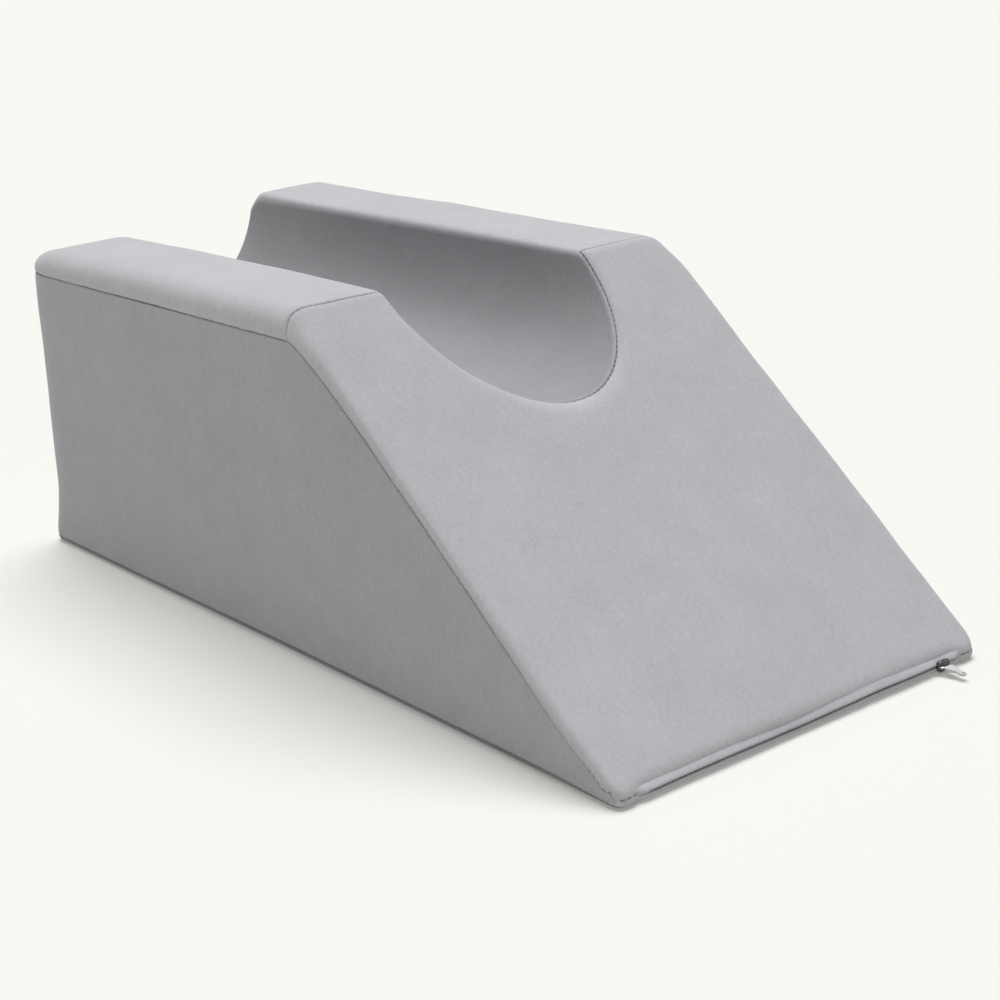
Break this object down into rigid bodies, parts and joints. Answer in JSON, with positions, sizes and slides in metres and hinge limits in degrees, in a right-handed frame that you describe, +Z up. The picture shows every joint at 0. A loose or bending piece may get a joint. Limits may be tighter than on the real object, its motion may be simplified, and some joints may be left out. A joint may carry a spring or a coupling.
{
  "type": "wedge pillow",
  "caption": "Fabric-covered foam wedge pillow for raising a leg, with an open rounded channel along its raised part and a long slope to a zipped toe.",
  "frame": {"origin": "middle of the underside, at the middle of the overall box", "axes": "+X from the back face to the toe, +Y across to the far rail as pictured, +Z up"},
  "size_m": [0.6501, 0.2688, 0.2129],
  "materials": {
    "cover_cloth": "matt grey short-napped cloth",
    "zip_cloth": "matt grey folded cloth",
    "zip_teeth": "dark moulded coil",
    "zip_metal": "dark plated metal with a bright bridge",
    "zip_tab": "light grey moulded tab"
  },
  "bodies": {
    "root": {"cushion": "cover_cloth", "zip_lip_upper": "zip_cloth", "zip_lip_lower": "zip_cloth", "zip_chain": "zip_teeth", "zip_slider": "zip_metal", "zip_pull": "zip_tab"}
  },
  "joints": []
}
